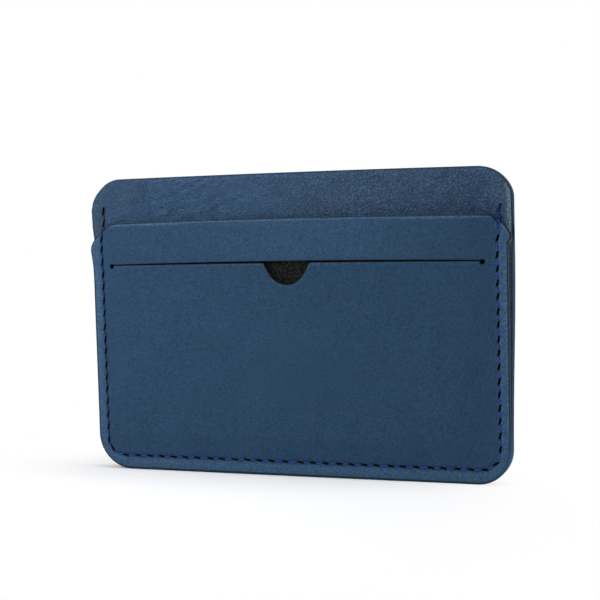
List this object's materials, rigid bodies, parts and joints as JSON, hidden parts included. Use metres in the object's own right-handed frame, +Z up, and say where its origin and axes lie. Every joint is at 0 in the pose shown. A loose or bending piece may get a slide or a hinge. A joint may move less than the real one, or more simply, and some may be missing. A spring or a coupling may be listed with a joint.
{
  "type": "card holder",
  "caption": "Flat sewn leather card holder with a slit pocket with a thumb notch, a pocket behind the front panel and a pocket open along the top.",
  "frame": {"origin": "middle of the bottom edge, halfway through the thickness, with the holder standing upright", "axes": "+X along the width, to the right as seen from the front; +Y through the thickness, from the front panel to the back panel; +Z up, out of the pockets"},
  "size_m": [0.1, 0.0054, 0.0693],
  "materials": {
    "smooth_leather": "matt, fine grained, navy blue",
    "grained_leather": "matt, pebbled grain, navy blue",
    "black_lining": "fine plain weave",
    "blue_thread": "waxed twisted thread"
  },
  "bodies": {
    "root": {"back_panel": "grained_leather", "centre_panel": "grained_leather", "pocket_lining": "black_lining", "front_panel": "smooth_leather", "needle_thread": "blue_thread", "bobbin_thread": "blue_thread"}
  },
  "joints": []
}
